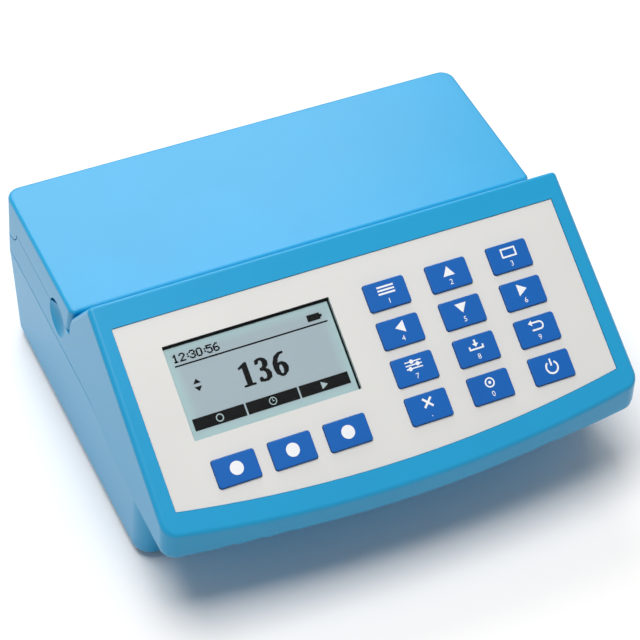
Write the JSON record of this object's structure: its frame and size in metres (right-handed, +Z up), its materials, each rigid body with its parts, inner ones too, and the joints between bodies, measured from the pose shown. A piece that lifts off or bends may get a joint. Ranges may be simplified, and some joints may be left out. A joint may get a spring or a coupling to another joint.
{
  "type": "benchtop photometer",
  "caption": "Benchtop photometer with a sloping keypad and display, a hinged light-tight lid over a round cuvette well and rear sockets.",
  "frame": {"origin": "on the table under the middle of the instrument", "axes": "+X to the right across the width, +Y to the rear, +Z up; the keypad faces -Y and up"},
  "size_m": [0.206, 0.1824, 0.097],
  "materials": {
    "shell": "satin moulded",
    "lower_shell": "satin moulded",
    "lid_shell": "satin moulded",
    "foam": "closed foam",
    "rubber": "matte",
    "screws": "zinc plated",
    "pins": "ground",
    "overlay": "fine grain film",
    "window": "clear",
    "lcd_frame": "matte",
    "lcd_glass": "grey-blue polariser",
    "backlight": "diffuser",
    "keypad_board": "solder mask",
    "domes": "sprung steel",
    "keys": "fine satin",
    "holder": "black moulded",
    "mark": "inlaid",
    "optics": "light-trap black",
    "filters": "coated",
    "lenses": "clear",
    "leds": "water clear",
    "detectors": "dark face",
    "boards": "solder mask",
    "chips": "moulded",
    "headers": "moulded",
    "ribbon": "flat cable",
    "battery": "shrink sleeve",
    "sockets": "stamped",
    "jack": "moulded"
  },
  "bodies": {
    "case": {"battery_pack": "battery", "board_chips": "chips", "board_headers": "headers", "case_screws": "screws", "cuvette_holder": "holder", "display_window": "window", "electrode_jack": "jack", "hinge_pins": "pins", "holder_seal": "rubber", "index_mark": "mark", "interference_filters": "filters", "key_domes": "domes", "keypad_board": "keypad_board", "keypad_board_screws": "screws", "lcd_backlight": "backlight", "lcd_frame": "lcd_frame", "lcd_glass": "lcd_glass", "led_sources": "leds", "lower_housing": "lower_shell", "main_board": "boards", "main_board_screws": "screws", "membrane_overlay": "overlay", "micro_usb_socket": "sockets", "optics_block": "optics", "optics_screws": "screws", "port_board": "boards", "port_board_screws": "screws", "ribbon_cable": "ribbon", "rubber_feet": "rubber", "sample_detectors": "detectors", "source_lenses": "lenses", "upper_housing": "shell", "usb_a_socket": "sockets"},
    "lid": {"lid": "lid_shell", "lid_gasket": "foam"},
    "function_key_1_body": {"function_key_1": "keys"},
    "function_key_2_body": {"function_key_2": "keys"},
    "function_key_3_body": {"function_key_3": "keys"},
    "key_row1_column1_body": {"key_row1_column1": "keys"},
    "key_row1_column2_body": {"key_row1_column2": "keys"},
    "key_row1_column3_body": {"key_row1_column3": "keys"},
    "key_row2_column1_body": {"key_row2_column1": "keys"},
    "key_row2_column2_body": {"key_row2_column2": "keys"},
    "key_row2_column3_body": {"key_row2_column3": "keys"},
    "key_row3_column1_body": {"key_row3_column1": "keys"},
    "key_row3_column2_body": {"key_row3_column2": "keys"},
    "key_row3_column3_body": {"key_row3_column3": "keys"},
    "key_row4_column1_body": {"key_row4_column1": "keys"},
    "key_row4_column2_body": {"key_row4_column2": "keys"},
    "key_row4_column3_body": {"key_row4_column3": "keys"}
  },
  "joints": [
    {"name": "lid_hinge", "type": "hinge", "parent": "case", "child": "lid", "pos_m": [0, 0.0838, 0.065], "axis": [-1, 0, 0], "range_deg": [0, 95]},
    {"name": "function_key_1_press", "type": "slide", "parent": "case", "child": "function_key_1_body", "axis": [0, 0.507, -0.8619], "range_m": [0, 0.0005], "stiffness_N_per_m": 1500, "springref_m": -0.0005},
    {"name": "function_key_2_press", "type": "slide", "parent": "case", "child": "function_key_2_body", "axis": [0, 0.507, -0.8619], "range_m": [0, 0.0005], "stiffness_N_per_m": 1500, "springref_m": -0.0005},
    {"name": "function_key_3_press", "type": "slide", "parent": "case", "child": "function_key_3_body", "axis": [0, 0.507, -0.8619], "range_m": [0, 0.0005], "stiffness_N_per_m": 1500, "springref_m": -0.0005},
    {"name": "key_row1_column1_press", "type": "slide", "parent": "case", "child": "key_row1_column1_body", "axis": [0, 0.507, -0.8619], "range_m": [0, 0.0005], "stiffness_N_per_m": 1500, "springref_m": -0.0005},
    {"name": "key_row1_column2_press", "type": "slide", "parent": "case", "child": "key_row1_column2_body", "axis": [0, 0.507, -0.8619], "range_m": [0, 0.0005], "stiffness_N_per_m": 1500, "springref_m": -0.0005},
    {"name": "key_row1_column3_press", "type": "slide", "parent": "case", "child": "key_row1_column3_body", "axis": [0, 0.507, -0.8619], "range_m": [0, 0.0005], "stiffness_N_per_m": 1500, "springref_m": -0.0005},
    {"name": "key_row2_column1_press", "type": "slide", "parent": "case", "child": "key_row2_column1_body", "axis": [0, 0.507, -0.8619], "range_m": [0, 0.0005], "stiffness_N_per_m": 1500, "springref_m": -0.0005},
    {"name": "key_row2_column2_press", "type": "slide", "parent": "case", "child": "key_row2_column2_body", "axis": [0, 0.507, -0.8619], "range_m": [0, 0.0005], "stiffness_N_per_m": 1500, "springref_m": -0.0005},
    {"name": "key_row2_column3_press", "type": "slide", "parent": "case", "child": "key_row2_column3_body", "axis": [0, 0.507, -0.8619], "range_m": [0, 0.0005], "stiffness_N_per_m": 1500, "springref_m": -0.0005},
    {"name": "key_row3_column1_press", "type": "slide", "parent": "case", "child": "key_row3_column1_body", "axis": [0, 0.507, -0.8619], "range_m": [0, 0.0005], "stiffness_N_per_m": 1500, "springref_m": -0.0005},
    {"name": "key_row3_column2_press", "type": "slide", "parent": "case", "child": "key_row3_column2_body", "axis": [0, 0.507, -0.8619], "range_m": [0, 0.0005], "stiffness_N_per_m": 1500, "springref_m": -0.0005},
    {"name": "key_row3_column3_press", "type": "slide", "parent": "case", "child": "key_row3_column3_body", "axis": [0, 0.507, -0.8619], "range_m": [0, 0.0005], "stiffness_N_per_m": 1500, "springref_m": -0.0005},
    {"name": "key_row4_column1_press", "type": "slide", "parent": "case", "child": "key_row4_column1_body", "axis": [0, 0.507, -0.8619], "range_m": [0, 0.0005], "stiffness_N_per_m": 1500, "springref_m": -0.0005},
    {"name": "key_row4_column2_press", "type": "slide", "parent": "case", "child": "key_row4_column2_body", "axis": [0, 0.507, -0.8619], "range_m": [0, 0.0005], "stiffness_N_per_m": 1500, "springref_m": -0.0005},
    {"name": "key_row4_column3_press", "type": "slide", "parent": "case", "child": "key_row4_column3_body", "axis": [0, 0.507, -0.8619], "range_m": [0, 0.0005], "stiffness_N_per_m": 1500, "springref_m": -0.0005}
  ]
}
